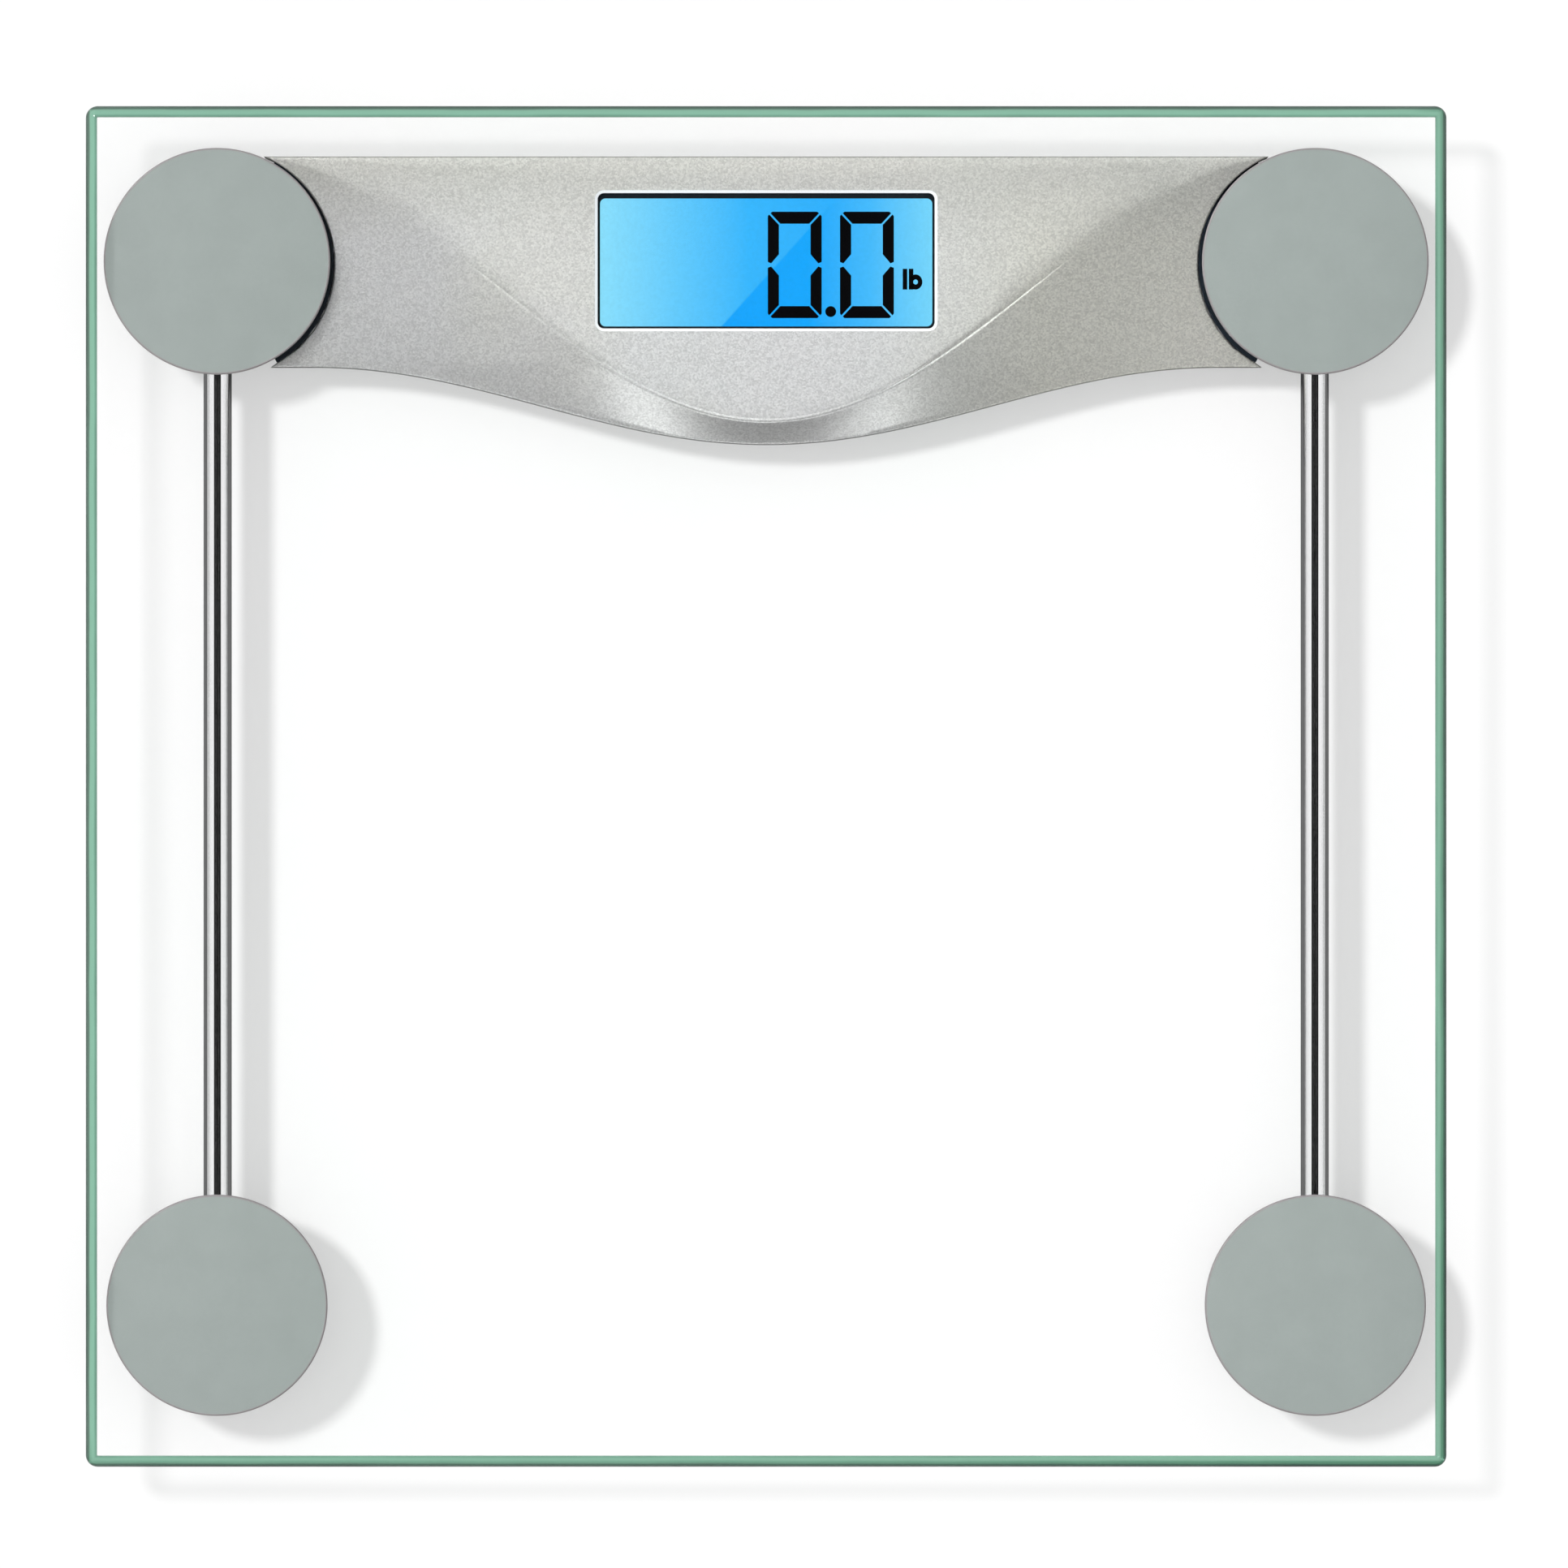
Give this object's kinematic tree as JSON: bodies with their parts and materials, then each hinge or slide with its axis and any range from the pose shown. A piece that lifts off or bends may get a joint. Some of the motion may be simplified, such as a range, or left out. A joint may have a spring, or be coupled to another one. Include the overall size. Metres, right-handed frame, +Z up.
{
  "type": "digital glass platform scale",
  "caption": "Square clear glass weighing platform on round load-cell feet joined by chrome rail tubes, with a curved silver display housing under its rear edge.",
  "frame": {"origin": "on the floor under the middle of the glass platform", "axes": "+Z up, +Y towards the display side, +X to the right of a user who stands at the front and reads the display"},
  "size_m": [0.3, 0.3, 0.025],
  "materials": {
    "platform_glass": "clear toughened glass with a green polished edge",
    "cap_grey": "fine-grained grey-green plastic",
    "housing_grey": "moulded grey plastic",
    "cell_steel": "stamped steel",
    "puck_white": "moulded white plastic",
    "pad_rubber": "matt black rubber",
    "rail_chrome": "polished chrome plate",
    "wire_white": "white insulation",
    "silver_paint": "metallic silver paint with a fine flake",
    "shell_grey": "moulded grey plastic, fine spark texture",
    "screw_steel": "zinc-plated steel",
    "foam_black": "black foam",
    "lcd_blue": "back-lit blue liquid-crystal panel",
    "diffuser_white": "translucent white light guide",
    "zebra_rubber": "layered silicone connector",
    "board_green": "green solder mask",
    "switch_black": "black plastic",
    "button_grey": "dark grey plastic",
    "battery_wrap": "plain printed wrap on a metal can",
    "contact_nickel": "nickel-plated steel",
    "wire_red": "red insulation"
  },
  "bodies": {
    "platform": {"glass_platform": "platform_glass", "foot_cap_front_left": "cap_grey", "foot_cap_front_right": "cap_grey", "foot_cap_rear_left": "cap_grey", "foot_cap_rear_right": "cap_grey", "foot_housing_front_left": "housing_grey", "foot_housing_front_right": "housing_grey", "foot_housing_rear_left": "housing_grey", "foot_housing_rear_right": "housing_grey", "foot_ring_front_left": "housing_grey", "foot_ring_front_right": "housing_grey", "foot_ring_rear_left": "housing_grey", "foot_ring_rear_right": "housing_grey", "load_cell_front_left": "cell_steel", "load_cell_front_right": "cell_steel", "load_cell_rear_left": "cell_steel", "load_cell_rear_right": "cell_steel", "rail_tube_left": "rail_chrome", "rail_tube_right": "rail_chrome", "cell_wire_front_left": "wire_white", "cell_wire_front_right": "wire_white", "cell_wire_rear_left": "wire_white", "cell_wire_rear_right": "wire_white", "display_top_shell": "silver_paint", "display_bottom_shell": "shell_grey", "shell_screw_left_outer": "screw_steel", "shell_screw_left_inner": "screw_steel", "shell_screw_right_inner": "screw_steel", "shell_screw_right_outer": "screw_steel", "lcd_gasket": "foam_black", "lcd_panel": "lcd_blue", "backlight_panel": "diffuser_white", "zebra_strip": "zebra_rubber", "main_board": "board_green", "unit_switch": "switch_black", "battery_lead_front": "switch_black", "battery_cell_front": "battery_wrap", "battery_cell_rear": "battery_wrap", "battery_spring_front": "contact_nickel", "battery_spring_rear": "contact_nickel", "contact_bridge": "contact_nickel", "contact_front": "contact_nickel", "contact_rear": "contact_nickel", "battery_lead_rear": "wire_red"},
    "front_left_foot": {"foot_puck_front_left": "puck_white", "rubber_pad_front_left": "pad_rubber"},
    "front_right_foot": {"foot_puck_front_right": "puck_white", "rubber_pad_front_right": "pad_rubber"},
    "rear_left_foot": {"foot_puck_rear_left": "puck_white", "rubber_pad_rear_left": "pad_rubber"},
    "rear_right_foot": {"foot_puck_rear_right": "puck_white", "rubber_pad_rear_right": "pad_rubber"},
    "unit_button": {"unit_button": "button_grey"},
    "battery_door": {"battery_door": "shell_grey"}
  },
  "joints": [
    {"name": "front_left_foot_slide", "type": "slide", "parent": "platform", "child": "front_left_foot", "axis": [0, 0, 1], "range_m": [0, 0.0005], "stiffness_N_per_m": 1000, "springref_m": -0.006},
    {"name": "front_right_foot_slide", "type": "slide", "parent": "platform", "child": "front_right_foot", "axis": [0, 0, 1], "range_m": [0, 0.0005], "stiffness_N_per_m": 1000, "springref_m": -0.006},
    {"name": "rear_left_foot_slide", "type": "slide", "parent": "platform", "child": "rear_left_foot", "axis": [0, 0, 1], "range_m": [0, 0.0005], "stiffness_N_per_m": 1000, "springref_m": -0.006},
    {"name": "rear_right_foot_slide", "type": "slide", "parent": "platform", "child": "rear_right_foot", "axis": [0, 0, 1], "range_m": [0, 0.0005], "stiffness_N_per_m": 1000, "springref_m": -0.006},
    {"name": "unit_button_press", "type": "slide", "parent": "platform", "child": "unit_button", "axis": [0, 0, 1], "range_m": [0, 0.0006], "stiffness_N_per_m": 2500, "springref_m": -0.0003},
    {"name": "battery_door_hinge", "type": "hinge", "parent": "platform", "child": "battery_door", "pos_m": [-0.0627, 0.1342, 0.0037], "axis": [1, 0, 0], "range_deg": [0, 75]}
  ]
}
